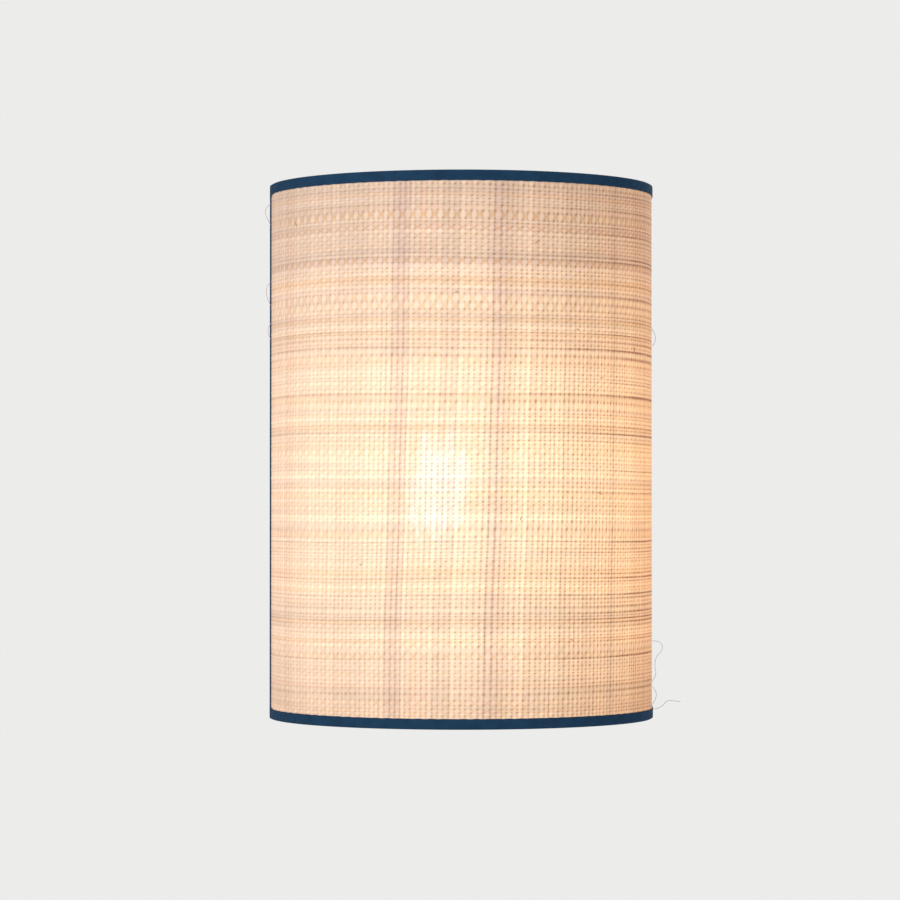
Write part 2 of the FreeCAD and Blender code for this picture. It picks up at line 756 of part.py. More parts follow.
board = new_body("bulb_led_board", *BULB)
disc = new_sketch(board, "XY_Plane", "board_seat")
draw_circle(disc, "0", "0", "rim_inner - fit_gap")
pad(board, disc, "board_thickness")
chip = new_sketch(board, "XY_Plane", "board_seat + board_thickness")
draw_box(chip, "chip_circle - chip_size / 2", "chip_circle + chip_size / 2", "-chip_size / 2", "chip_size / 2")
first_chip = pad(board, chip, "chip_height")
chips = board.newObject("PartDesign::PolarPattern", "chip_pattern")
chips.Originals = [first_chip]
chips.Axis = (chip, ["N_Axis"])
chips.Angle = 360
chips.setExpression("Occurrences", full("chip_count"))
board.Tip = chips
doc.recompute()


# Terminal block: moulded body, three brass barrels and their six clamping screws

POLES = (-1, 0, 1)

block = new_body("terminal_block", "0", "-sheet_thickness", "block_height")
moulding = new_sketch(block, "XZ_Plane")
draw_box(moulding, "-block_width / 2", "block_width / 2", "-1.5 * pole_pitch", "1.5 * pole_pitch")
draw_circle(moulding, "0", "pole_pitch / 2", "block_screw_diameter / 2 + fit_gap")
pad(block, moulding, "block_depth")
bores = new_sketch(block, "YZ_Plane")
wells = new_sketch(block, "XZ_Plane", "block_depth")
for pole in POLES:
    draw_circle(bores, "-pole_height", f"{pole} * pole_pitch", "barrel_diameter / 2 + barrel_gap")
    for sign in ("-", "+"):
        draw_circle(wells, f"{sign}clamp_spacing / 2", f"{pole} * pole_pitch", "well_diameter / 2")
pocket(block, bores, symmetric=True)
pocket(block, wells, "block_depth - pole_height")
recess = new_sketch(block, "XZ_Plane", "block_depth")
draw_circle(recess, "0", "pole_pitch / 2", "block_head_diameter / 2 + fit_gap")
pocket(block, recess, "block_head_height")

barrels = []
clamps = []
for pole in POLES:
    height = f"block_height + {pole} * pole_pitch"
    name = f"barrel_{pole + 1}"
    tube = rod(name + "_tube", "barrel_diameter / 2", "block_width", "-block_width / 2", "-pole_out", height,
               ALONG_X)
    bore = rod(name + "_bore", "barrel_bore / 2", "block_width", "-block_width / 2", "-pole_out", height,
               ALONG_X)
    barrel = combine("Part::Cut", name, tube, bore)
    for word, sign in (("left", "-"), ("right", "+")):
        across = f"{sign}clamp_spacing / 2"
        hole = rod(f"{name}_{word}_hole", "clamp_diameter / 2 + screw_gap", "block_depth",
                   across, "-pole_out", height, TO_ROOM)
        barrel = combine("Part::Cut", f"{name}_{word}", barrel, hole)
        clamps.append(rod(f"{name}_{word}_clamp", "clamp_diameter / 2", "clamp_length",
                          across, "-clamp_tip", height, TO_ROOM))
    barrels.append(barrel)
group("terminal_barrels", barrels)
group("terminal_screws", clamps)


# Earth tag: a flat ring under the screw, with a crimped barrel towards the terminal block

ring = rod("tag_ring", "tag_diameter / 2", "tag_thickness", "earth_across", "-sheet_thickness",
           "earth_height", TO_ROOM)
crimp = rod("tag_crimp", "crimp_diameter / 2", "crimp_length",
            "earth_across - crimp_reach - crimp_length", "-crimp_out", "earth_height", ALONG_X)
neck = doc.addObject("Part::Box", "tag_neck")
neck.setExpression("Length", full("crimp_reach + crimp_length / 4"))
neck.setExpression("Width", full("tag_thickness"))
neck.setExpression("Height", full("crimp_diameter"))
place(neck, "earth_across - crimp_reach - crimp_length / 4", "-sheet_thickness - tag_thickness",
      "earth_height - crimp_diameter / 2")
tag = combine("Part::Fuse", "tag_blank", combine("Part::Fuse", "tag_ring_neck", ring, neck), crimp)
tag_hole = rod("tag_hole", "earth_screw_diameter / 2 + fit_gap", "2 * tag_thickness", "earth_across",
               "-sheet_thickness + tag_thickness / 2", "earth_height", TO_ROOM)
crimp_hole = rod("crimp_hole", "crimp_bore / 2", "crimp_length",
                 "earth_across - crimp_reach - crimp_length", "-crimp_out", "earth_height", ALONG_X)
tag = combine("Part::Cut", "tag_drilled", tag, tag_hole)
name_node(combine("Part::Cut", "earth_tag", tag, crimp_hole), "earth_tag")


# Leads: straight runs joined by arcs as wide as the runs allow

BEND_SHARE = 0.45


def lead(label, points):
    corners = [Vector(*point) for point in points]
    edges = []
    bends = []
    start = corners[0]
    for before, corner, after in zip(corners, corners[1:], corners[2:]):
        came = (before - corner).normalize()
        goes = (after - corner).normalize()
        reach = BEND_SHARE * min((before - corner).Length, (after - corner).Length)
        enter = corner + came * reach
        leave = corner + goes * reach
        inside = (came + goes).normalize()
        centre = corner + inside * (reach / came.dot(inside))
        bends.append((centre - enter).Length)
        middle = centre - inside * bends[-1]
        edges.append(Part.LineSegment(start, enter).toShape())
        edges.append(Part.Arc(enter, middle, leave).toShape())
        start = leave
    edges.append(Part.LineSegment(start, corners[-1]).toShape())
    path = Part.Wire(edges)
    radius = size("lead_diameter / 2")
    ring = Part.Wire([Part.makeCircle(radius, corners[0], corners[1] - corners[0])])
    tube = path.makePipeShell([ring], True, False)
    section = math.pi * radius ** 2
    if abs(tube.Volume / (section * path.Length) - 1) > 0.01:
        raise RuntimeError(f"{label} is not a whole tube")
    print(label, "length", round(path.Length, 1), "bend radii", [round(bend, 1) for bend in bends])
    piece = doc.addObject("Part::Feature", label)
    piece.Shape = tube
    name_node(piece, label)


RIGHT = size("half_plate")
OUT = -size("lamp_out")
DOWN = -size("lamp_drop")
INSERT = size("bracket_face - insert_back + glue_gap")
POLE_OUT = -size("pole_out")
POLE_END = size("block_width / 8")


def supply_lead(label, side, pole):
    """A lead from the insert, out through the nipple, over the bracket and into its pole."""
    height = size(f"block_height + {pole} * pole_pitch")
    beside = side * size("lead_pitch / sqrt(8)")
    apart = side * size("lead_pitch / 2")
    lead(label, [
        (INSERT, OUT + beside, DOWN - beside),
        (RIGHT + 11, OUT + beside, DOWN - beside),
        (RIGHT + 19, OUT + 8 + apart, DOWN + 9 - apart),
        (RIGHT + 17, OUT + 23 + apart, DOWN + 24 - apart),
        (RIGHT + 5, OUT + 35 + side, height + 2),
        (RIGHT - 14, POLE_OUT - 2, height + 1),
        (RIGHT - 36, POLE_OUT, height),
        (POLE_END, POLE_OUT, height),
    ])


supply_lead("live_lead", -1, 0)
supply_lead("neutral_lead", 1, -1)
CRIMP_END = size("earth_across - crimp_reach - crimp_length / 4")
CRIMP_OUT = -size("crimp_out")
EARTH_HEIGHT = size("earth_height")
lead("earth_lead", [
    (CRIMP_END, CRIMP_OUT, EARTH_HEIGHT),
    (CRIMP_END - 7.5, CRIMP_OUT, EARTH_HEIGHT),
    (CRIMP_END - 15, POLE_OUT, EARTH_HEIGHT),
    (POLE_END, POLE_OUT, EARTH_HEIGHT),
])

doc.recompute()
for piece in doc.Objects:
    if "Invalid" in piece.State or "Error" in piece.State:
        raise RuntimeError(f"{piece.Name} did not build: {piece.State}")
for piece in NODES:
    if piece.Shape.isNull() or not piece.Shape.isValid() or not piece.Shape.Solids:
        raise RuntimeError(f"{piece.Label} has no valid solid")
for piece in NODES:
    piece.Shape.exportStep(f"parts/{piece.Label}.step")
    print(piece.Label, len(piece.Shape.Solids), round(piece.Shape.Volume, 1))
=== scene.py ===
import bmesh
import bpy
import math
import random
from collections import namedtuple
from mathutils import Matrix, Vector


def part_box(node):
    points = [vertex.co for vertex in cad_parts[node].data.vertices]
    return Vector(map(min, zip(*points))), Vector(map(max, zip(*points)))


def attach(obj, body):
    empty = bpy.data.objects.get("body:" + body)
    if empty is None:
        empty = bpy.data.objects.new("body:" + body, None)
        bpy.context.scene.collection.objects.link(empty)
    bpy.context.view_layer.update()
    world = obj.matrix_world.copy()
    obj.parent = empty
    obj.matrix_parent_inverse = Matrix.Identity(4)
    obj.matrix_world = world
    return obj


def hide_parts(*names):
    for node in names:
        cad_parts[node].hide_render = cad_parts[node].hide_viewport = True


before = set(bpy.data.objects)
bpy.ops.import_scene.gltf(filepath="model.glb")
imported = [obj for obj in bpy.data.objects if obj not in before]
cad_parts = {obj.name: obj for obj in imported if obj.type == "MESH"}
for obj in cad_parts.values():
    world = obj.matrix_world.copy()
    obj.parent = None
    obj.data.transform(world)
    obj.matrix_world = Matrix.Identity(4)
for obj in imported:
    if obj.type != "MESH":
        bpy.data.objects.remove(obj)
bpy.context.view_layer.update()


# Wall plate and lampholder bracket
# Both are cut from 1.5 mm steel sheet, folded and powder coated white. The coat has a fine orange-peel skin
# and a soft satin shine.

MM = 0.001


def new_finish(name):
    """A new material, its node tree and its surface shader."""
    finish = bpy.data.materials.new(name)
    finish.use_nodes = True
    return finish, finish.node_tree, finish.node_tree.nodes["Principled BSDF"]


def feed(tree, socket, value):
    """Link a socket to an input, or set the input's own value."""
    if isinstance(value, bpy.types.NodeSocket):
        tree.links.new(value, socket)
    else:
        socket.default_value = value


def add(tree, kind, inputs=(), **options):
    """Add a shader node. Its inputs are given in order, or by name."""
    made = tree.nodes.new("ShaderNode" + kind)
    for option, value in options.items():
        setattr(made, option, value)
    named = inputs.items() if isinstance(inputs, dict) else enumerate(inputs)
    for place, value in named:
        feed(tree, made.inputs[place], value)
    return made


def reckon(tree, operation, *values):
    """Do a sum on numbers or sockets."""
    return add(tree, "Math", values, operation=operation).outputs[0]


def tint(tree, share, first, second, blend="MIX"):
    """Mix two colours by a share."""
    made = add(tree, "Mix", data_type="RGBA", blend_type=blend, clamp_factor=True)
    feed(tree, made.inputs[0], share)
    feed(tree, made.inputs[6], first)
    feed(tree, made.inputs[7], second)
    return made.outputs[2]


def grain(tree, scale, stretch=(1, 1, 1), detail=2.0):
    """Noise on the object's own coordinates, finer along the axes that have the larger stretch."""
    place = add(tree, "TexCoord").outputs["Object"]
    mapped = add(tree, "Mapping", {"Vector": place, "Scale": stretch}).outputs[0]
    return add(tree, "TexNoise", {"Vector": mapped, "Scale": scale, "Detail": detail}).outputs[0]


def roughen(tree, surface, height, strength, depth):
    """Raise a surface by a height pattern."""
    bump = add(tree, "Bump", {"Strength": strength, "Distance": depth, "Height": height})
    tree.links.new(bump.outputs[0], surface.inputs["Normal"])


def rgb(red, green, blue):
    """An opaque colour."""
    return (red, green, blue, 1.0)


def ramp(tree, value, start, end, low, high, easing="LINEAR"):
    """Go from low to high while a value goes from start to end."""
    return add(tree, "MapRange", [value, start, end, low, high], interpolation_type=easing).outputs[0]


def spread(tree, value, low, high):
    """Stretch a noise pattern, which lies about one half, to a range of values."""
    return ramp(tree, value, 0.25, 0.75, low, high)


def powder_coat(name, pale, dark):
    """Powder coat: a nearly even colour under an orange-peel skin."""
    finish, tree, surface = new_finish(name)
    feed(tree, surface.inputs["Base Color"], tint(tree, grain(tree, 60), dark, pale))
    feed(tree, surface.inputs["Roughness"], spread(tree, grain(tree, 700), 0.36, 0.5))
    surface.inputs["Coat Weight"].default_value = 0.15
    surface.inputs["Coat Roughness"].default_value = 0.3
    roughen(tree, surface, grain(tree, 1500), 0.25, 0.1 * MM)
    return finish


def dress(finish, *nodes):
    """Give CAD nodes a finish."""
    for node in nodes:
        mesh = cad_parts[node].data
        mesh.materials.clear()
        mesh.materials.append(finish)


dress(powder_coat("white powder coat", rgb(0.80, 0.80, 0.78), rgb(0.74, 0.74, 0.71)),
      "wall_plate", "lampholder_bracket")


# Cable bushing
# A grommet moulded in black rubber and pressed into the plate's cable hole from the room side. It keeps the
# edge of the sheet off the cable.

def moulded(name, pale, dark, roughness, skin):
    """Moulded plastic or rubber: a nearly even colour, with a faint skin."""
    finish, tree, surface = new_finish(name)
    feed(tree, surface.inputs["Base Color"], tint(tree, grain(tree, 90), dark, pale))
    shine = spread(tree, grain(tree, 500), roughness - 0.06, roughness + 0.06)
    feed(tree, surface.inputs["Roughness"], shine)
    roughen(tree, surface, grain(tree, 2600), skin, 0.06 * MM)
    return finish


dress(moulded("bushing rubber", rgb(0.035, 0.035, 0.036), rgb(0.022, 0.022, 0.023), 0.62, 0.4),
      "cable_bushing")


# Screws of the bracket, the earth tag and the terminal block
# Zinc-plated steel screws with pan heads and a cross recess, turned into tapped holes in the plate. Each head
# stands on the piece that it holds.

def plated(name, pale, dark, roughness):
    """Plated metal: fine draw marks and slightly uneven shine."""
    finish, tree, surface = new_finish(name)
    feed(tree, surface.inputs["Base Color"], tint(tree, grain(tree, 300), dark, pale))
    shine = spread(tree, grain(tree, 1200), roughness - 0.08, roughness + 0.1)
    feed(tree, surface.inputs["Roughness"], shine)
    surface.inputs["Metallic"].default_value = 1.0
    roughen(tree, surface, grain(tree, 3000, (1, 1, 0.2)), 0.15, 0.05 * MM)
    return finish


def as_piece(name, shape, finish, body, replaced=(), sharp=35):
    """Turn a finished bmesh into a piece that rides on a body."""
    bmesh.ops.recalc_face_normals(shape, faces=shape.faces[:])
    for face in shape.faces:
        face.smooth = True
    for edge in shape.edges:
        edge.smooth = edge.calc_face_angle(math.pi) < math.radians(sharp)
    mesh = bpy.data.meshes.new(name)
    shape.to_mesh(mesh)
    shape.free()
    mesh.materials.append(finish)
    piece = bpy.data.objects.new(name, mesh)
    bpy.context.scene.collection.objects.link(piece)
    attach(piece, body)
    if replaced:
        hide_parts(*replaced)
    return piece


def merge(shape, other):
    """Add one bmesh to another."""
    passing = bpy.data.meshes.new("passing")
    other.to_mesh(passing)
    other.free()
    shape.from_mesh(passing)
    bpy.data.meshes.remove(passing)


def round_stud(radius, length, segments):
    """A round stud that stands on the plane z = 0."""
    stud = bmesh.new()
    bmesh.ops.create_circle(stud, cap_ends=True, radius=radius, segments=segments)
    raised = bmesh.ops.extrude_face_region(stud, geom=stud.faces[:])["geom"]
    crown = [part for part in raised if isinstance(part, bmesh.types.BMVert)]
    bmesh.ops.translate(stud, verts=crown, vec=(0, 0, length))
    return stud


def pan_head(radius, height):
    """A pan head that stands on the plane z = 0, with a cross recess in its top."""
    head = round_stud(radius, height, 32)
    rim = [edge for edge in head.edges if min(vert.co.z for vert in edge.verts) > height / 2]
    bmesh.ops.bevel(head, geom=rim, offset=0.5 * height, segments=5, profile=0.5, affect="EDGES", material=-1)
    arm = 0.13 * radius
    reach = 0.5 * radius
    top = 0.999 * height
    for axis in (Vector((1, 0, 0)), Vector((0, 1, 0))):
        for cut in (-reach, -arm, arm, reach):
            faces = [face for face in head.faces if face.calc_center_median().z > top]
            parts = {part for face in faces for part in (face, *face.edges, *face.verts)}
            bmesh.ops.bisect_plane(head, geom=list(parts), plane_co=axis * cut, plane_no=axis)
    cross = []
    for face in head.faces:
        middle = face.calc_center_median()
        narrow, wide = sorted((abs(middle.x), abs(middle.y)))
        if middle.z > top and narrow < arm and wide < reach:
            cross.append(face)
    bmesh.ops.inset_region(head, faces=cross, thickness=0.3 * arm, depth=-0.55 * height, use_even_offset=True)
    return head


TO_ROOM = Matrix.Rotation(math.radians(90), 4, "X")


def pan_screw(shape, middle, seat, end, radius, height, shank):
    """Add one screw whose head stands on the plane y = seat and whose shank ends at y = end."""
    screw = pan_head(radius, height)
    length = end - seat
    bmesh.ops.create_cone(screw, cap_ends=True, segments=20, radius1=0.8 * shank, radius2=shank, depth=length,
                          matrix=Matrix.Translation((0, 0, -length / 2)))
    place = Matrix.Translation((middle[0], seat, middle[1])) @ TO_ROOM
    bmesh.ops.transform(screw, matrix=place, verts=screw.verts[:])
    merge(shape, screw)


zinc = plated("zinc plate", rgb(0.66, 0.66, 0.64), rgb(0.52, 0.53, 0.53), 0.32)
for node, shank, height in (("bracket_screws", 2.0 * MM, 2.4 * MM), ("earth_screw", 2.0 * MM, 2.4 * MM),
                            ("block_screw", 1.5 * MM, 1.8 * MM)):
    low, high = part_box(node)
    head = (high.x - low.x) / 2
    screws = bmesh.new()
    for level in sorted({round(low.z + head, 5), round(high.z - head, 5)}):
        pan_screw(screws, ((low.x + high.x) / 2, level), low.y + height, high.y, head, height, shank)
    as_piece(node + "_turned", screws, zinc, "wall_fixture", [node])


# Lampholder
# A moulded holder for a 27 mm screw cap: a domed base on a threaded tube, a glazed insert, a screwed-on
# skirt, and a rolled brass sleeve round a sprung centre contact.

dress(moulded("holder white", rgb(0.80, 0.79, 0.76), rgb(0.76, 0.75, 0.71), 0.34, 0.2),
      "lampholder_base", "lampholder_skirt")
dress(moulded("glazed insert", rgb(0.76, 0.74, 0.68), rgb(0.70, 0.67, 0.60), 0.22, 0.1), "lampholder_insert")
brass = plated("brass", rgb(0.78, 0.57, 0.25), rgb(0.62, 0.42, 0.16), 0.28)
dress(brass, "centre_contact")
dress(zinc, "nipple_washer", "nipple_nut")


def rolled_thread(node, pitch, depth, lead_in):
    """A sheet rolled to a tube about the bulb's axis, with a round screw thread in its middle."""
    low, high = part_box(node)
    middle = (low + high) / 2
    radius = (high.z - low.z) / 2
    length = high.x - low.x
    tube = bmesh.new()
    bmesh.ops.create_grid(tube, x_segments=60, y_segments=round(10 * length / pitch), size=0.5)
    for vert in tube.verts:
        turn = 2 * math.pi * (vert.co.x + 0.5)
        along = length * (vert.co.y + 0.5)
        rise = min(1, max(0, along - lead_in) / pitch, max(0, length - lead_in - along) / pitch)
        groove = depth * (0.5 - 0.5 * math.cos(2 * math.pi * along / pitch - turn))
        reach = radius - rise * groove
        vert.co = (low.x + along, middle.y + reach * math.cos(turn), middle.z + reach * math.sin(turn))
    bmesh.ops.remove_doubles(tube, verts=tube.verts[:], dist=0.01 * MM)
    return tube


INWARD = -1


def thicken(piece, thickness, offset):
    """Give a sheet its thickness, inward from its surface or half to each side."""
    wall = piece.modifiers.new("wall", "SOLIDIFY")
    wall.thickness = thickness
    wall.offset = offset


CAP_PITCH = 25.4 / 7 * MM
CAP_SHEET = 0.4 * MM
sleeve = rolled_thread("screw_sleeve", CAP_PITCH, 0.45 * MM, 1.5 * MM)
sleeve_piece = as_piece("threaded_sleeve", sleeve, brass, "wall_fixture", ["screw_sleeve"], sharp=60)
thicken(sleeve_piece, CAP_SHEET, INWARD)
tube = rolled_thread("nipple", 1.0 * MM, 0.5 * MM, 0.4 * MM)
tube_piece = as_piece("threaded_nipple", tube, zinc, "wall_fixture", ["nipple"], sharp=60)
thicken(tube_piece, 0.9 * MM, INWARD)


# Terminal block
# A white nylon moulding with three brass barrels, held to the plate by one screw. Two slotted screws in each
# barrel clamp the leads.

dress(moulded("block nylon", rgb(0.80, 0.80, 0.78), rgb(0.74, 0.74, 0.72), 0.45, 0.3), "terminal_block")
dress(brass, "terminal_barrels")


def slotted_stud(radius, length):
    """A headless screw that stands on the plane z = 0, with a slot across its top."""
    stud = round_stud(radius, length, 24)
    half_slot = 0.22 * radius
    for cut in (-half_slot, half_slot):
        parts = stud.faces[:] + stud.edges[:] + stud.verts[:]
        bmesh.ops.bisect_plane(stud, geom=parts, plane_co=(cut, 0, 0), plane_no=(1, 0, 0))
    slot = [face for face in stud.faces
            if face.normal.z > 0.9 and abs(face.calc_center_median().x) < 0.9 * half_slot]
    bmesh.ops.inset_region(stud, faces=slot, thickness=0.02 * radius, depth=-0.7 * radius)
    return stud


low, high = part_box("terminal_screws")
stud_radius = 1.4 * MM
studs = bmesh.new()
for across in (low.x + stud_radius, high.x - stud_radius):
    for level in (low.z + stud_radius, (low.z + high.z) / 2, high.z - stud_radius):
        stud = slotted_stud(stud_radius, high.y - low.y)
        twist = Matrix.Rotation(9 * across / MM + 5 * level / MM, 4, "Z")
        place = Matrix.Translation((across, high.y, level)) @ TO_ROOM @ twist
        bmesh.ops.transform(stud, matrix=place, verts=stud.verts[:])
        merge(studs, stud)
as_piece("clamping_screws", studs, zinc, "wall_fixture", ["terminal_screws"])


# Leads and earth tag
# Single wires in PVC sleeves: brown and blue from the lampholder to the block, green and yellow to earth.
# The earth lead ends in a crimped tag of nickel-plated brass.

def sleeving(name, colour, deep):
    """A wire's PVC sleeve: smooth, and nearly even in colour."""
    finish, tree, surface = new_finish(name)
    feed(tree, surface.inputs["Base Color"], tint(tree, grain(tree, 240), deep, colour))
    feed(tree, surface.inputs["Roughness"], spread(tree, grain(tree, 900), 0.3, 0.42))
    return finish, tree, surface


dress(sleeving("brown sleeve", rgb(0.17, 0.065, 0.028), rgb(0.13, 0.05, 0.02))[0], "live_lead")
dress(sleeving("blue sleeve", rgb(0.03, 0.14, 0.45), rgb(0.022, 0.11, 0.37))[0], "neutral_lead")
earth, tree, surface = sleeving("earth sleeve", rgb(0.75, 0.60, 0.04), rgb(0.66, 0.52, 0.03))
level = add(tree, "SeparateXYZ", [add(tree, "TexCoord").outputs["Object"]]).outputs["Z"]
low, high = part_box("earth_lead")
stripe = reckon(tree, "COMPARE", level, (low.z + high.z) / 2, 0.45 * MM)
yellow = surface.inputs["Base Color"].links[0].from_socket
feed(tree, surface.inputs["Base Color"], tint(tree, stripe, yellow, rgb(0.04, 0.30, 0.06)))
dress(earth, "earth_lead")
nickel = plated("nickel", rgb(0.74, 0.72, 0.68), rgb(0.60, 0.58, 0.54), 0.22)
dress(nickel, "earth_tag")


# Bulb
# An LED bulb with an opal globe and a white housing on a nickel-plated screw cap. A black glass insulator
# carries the solder tip of its centre contact.

opal, tree, surface = new_finish("opal globe")
feed(tree, surface.inputs["Base Color"],
     tint(tree, grain(tree, 80), rgb(0.60, 0.58, 0.54), rgb(0.66, 0.64, 0.60)))
surface.inputs["Roughness"].default_value = 0.32
globe_low, globe_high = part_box("bulb_globe")
across = add(tree, "SeparateXYZ", [add(tree, "TexCoord").outputs["Object"]]).outputs["X"]
toward_tip = ramp(tree, across, globe_high.x, globe_low.x, 0.0, 1.0)
feed(tree, surface.inputs["Emission Color"],
     tint(tree, toward_tip, rgb(0.62, 0.44, 0.26), rgb(1.0, 0.86, 0.66)))
surface.inputs["Emission Strength"].default_value = 0.9
dress(opal, "bulb_globe")
dress(moulded("bulb housing", rgb(0.84, 0.84, 0.82), rgb(0.80, 0.80, 0.78), 0.3, 0.15), "bulb_housing")
dress(moulded("glass insulator", rgb(0.02, 0.02, 0.025), rgb(0.012, 0.012, 0.016), 0.14, 0.05),
      "bulb_insulator")
dress(plated("solder", rgb(0.70, 0.70, 0.70), rgb(0.55, 0.55, 0.56), 0.3), "bulb_contact")
dress(moulded("board mask", rgb(0.82, 0.82, 0.80), rgb(0.78, 0.78, 0.76), 0.4, 0.1), "bulb_led_board")
cap = rolled_thread("bulb_cap", CAP_PITCH, 0.9 * MM, 3.2 * MM)
cap_piece = as_piece("threaded_cap", cap, nickel, "bulb_base", ["bulb_cap"], sharp=60)
thicken(cap_piece, CAP_SHEET, INWARD)


# Wire frame of the shade
# Steel wire, 4 mm thick, bent to two half rings, welded to bars and uprights and powder coated white. The
# bar across its back hangs in the plate's hooks.

dress(powder_coat("white wire", rgb(0.80, 0.80, 0.78), rgb(0.72, 0.72, 0.70)), "top_ring", "top_back_bar",
      "bottom_ring", "bottom_back_bar", "left_upright", "right_upright", "hanging_bar")


# Shade liner
# A stiff white translucent sheet, bent to a half cylinder. It stands in the frame and carries the cloth, and
# the bulb's light comes through both.

# Where the light falls off from, and how fast, and the middle and half the size of the hot patch, in metres
FALL_MIDDLE = (0.096, -0.045, -0.023)
FALL_RATE = (3.494, 3.494, 3.870)
HOT_MIDDLE = (-0.0247, 0, -0.0195)
HOT_WIDTH = 0.0155
HOT_HEIGHT = 0.031
# Red, green and blue light: its amount, how fast it falls off, its slope to the right and its gain at the top
LIGHT = ((1.125, 2.541, -4.423, 1.0), (0.975, 3.118, -6.395, 1.11), (0.678, 3.260, -7.872, 1.25))


def lamp_glow(tree, strength, hot):
    """The colour of the light that comes through the shade, from where a point of it lies.

    It falls off upwards, downwards and towards the wall, is palest on the globe's side and warmest on the
    lampholder's, and has a patch of stronger light before the globe.
    """
    place = add(tree, "TexCoord").outputs["Object"]
    away = add(tree, "VectorMath", [place, FALL_MIDDLE], operation="SUBTRACT").outputs[0]
    away = add(tree, "VectorMath", [away, FALL_RATE], operation="MULTIPLY").outputs[0]
    square = add(tree, "VectorMath", [away, away], operation="DOT_PRODUCT").outputs["Value"]
    near = reckon(tree, "DIVIDE", 1.0, reckon(tree, "ADD", 1.0, square))
    across, depth, level = add(tree, "SeparateXYZ", [place]).outputs
    by_wall = ramp(tree, depth, -0.068, -0.022, 1.0, 0.935, "SMOOTHSTEP")
    near = reckon(tree, "MULTIPLY", near, by_wall)
    by_right_edge = ramp(tree, across, 0.055, 0.1, 1.0, 1.035)
    near = reckon(tree, "MULTIPLY", near, by_right_edge)
    parts = []
    for amount, power, slope, at_top in LIGHT:
        fall = reckon(tree, "MULTIPLY", reckon(tree, "POWER", near, power), strength * amount)
        fall = reckon(tree, "MULTIPLY", fall, ramp(tree, level, 0.045, 0.14, 1.0, at_top))
        parts.append(reckon(tree, "MULTIPLY", fall, reckon(tree, "MULTIPLY_ADD", across, slope, 1.0)))
    glow = add(tree, "CombineColor", parts).outputs[0]
    centred = add(tree, "VectorMath", [place, HOT_MIDDLE], operation="SUBTRACT").outputs[0]
    scaled = add(tree, "VectorMath", [centred, (1 / HOT_WIDTH, 0, 1 / HOT_HEIGHT)],
                 operation="MULTIPLY").outputs[0]
    distance = add(tree, "VectorMath", [scaled], operation="LENGTH").outputs["Value"]
    ragged = spread(tree, grain(tree, 1.0, (230, 230, 50)), -0.35, 0.35)
    distance = reckon(tree, "ADD", distance, ragged)
    patch = ramp(tree, distance, 1.2, 0.6, 0.0, 1.0, "SMOOTHSTEP")
    return tint(tree, patch, glow, hot, "ADD")


lining, tree, surface = new_finish("liner sheet")
feed(tree, surface.inputs["Base Color"],
     tint(tree, grain(tree, 40), rgb(0.80, 0.77, 0.70), rgb(0.86, 0.83, 0.77)))
surface.inputs["Roughness"].default_value = 0.5
feed(tree, surface.inputs["Emission Color"], lamp_glow(tree, 0.4, rgb(0.02, 0.04, 0.05)))
surface.inputs["Emission Strength"].default_value = 1.0
dress(lining, "shade_liner")


# Raffia cloth
# Strips of palm leaf in plain weave: vertical warps about 3 mm wide, and wefts in runs of narrow and wide
# strips. No two are alike. The cloth is glued to the liner, so the strips wave only a little.

dice = random.Random(20)
cloth_low, cloth_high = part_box("raffia_cover")
axis_y = cloth_high.y
HALF_CLOTH = 0.35 * MM
cloth_radius = cloth_high.x - HALF_CLOTH
cloth_width = math.pi * cloth_radius
cloth_height = cloth_high.z - cloth_low.z
# A strip's rise over the one that it crosses, the height of its middle, its breadth between two crossings as
# a share of its full one, and its gap to the next strip
WAVE = 0.13 * MM
CROWN = 0.07 * MM
PINCH = 0.95
GAP = 0.10 * MM
# The lean of the warps, and the margin over which the weave's drift fades out, as the tape holds the cloth
SLANT = 0.024
STILL_EDGE = 6 * MM
# Colours of the leaves, and of a weft that shows through as dashes
NATURAL = Vector((1.0, 1.0, 1.0))
ROSE = Vector((0.98, 0.90, 0.86))
LILAC = Vector((0.90, 0.86, 0.91))
TAN = Vector((0.96, 0.86, 0.74))
DASH = Vector((0.94, 0.84, 0.70))
LAYERS = ("leaf", "lines", "corners")
# How much of a strip's column of the bake map its two upper sides take, and its underside
MAP_SHARES = (0.0, 0.45, 0.9, 1.0)
Strips = namedtuple("Strips", "edges colours lines")


def laid(widths, total):
    """The strips' edges, from 0 to the total."""
    edges = [0.0]
    for width in widths:
        edges.append(edges[-1] + width * total / sum(widths))
    return edges


def wander(along, level):
    """How far the weave drifts at a place of the cloth: along it, and up."""
    slant = SLANT * level * math.sin(math.pi * along / cloth_width)
    across = 0.35 * MM * math.sin(21 * level + 5 * along) + 0.2 * MM * math.sin(67 * level - 13 * along)
    up = 0.7 * MM * math.sin(11 * along + 9 * level) + 0.35 * MM * math.sin(37 * along - 23 * level)
    return slant + across * min(1, along / STILL_EDGE, (cloth_width - along) / STILL_EDGE), up


def on_cloth(along, level, lift):
    """A point of the cloth, by its way round from the left edge, its height and its lift."""
    across, up = wander(along, level)
    turn = (along + across) / cloth_radius
    reach = cloth_radius + lift
    inside = max(0, min(1, (cloth_high.z - abs(level)) / STILL_EDGE))
    return (-reach * math.cos(turn), axis_y - reach * math.sin(turn), level + up * inside)


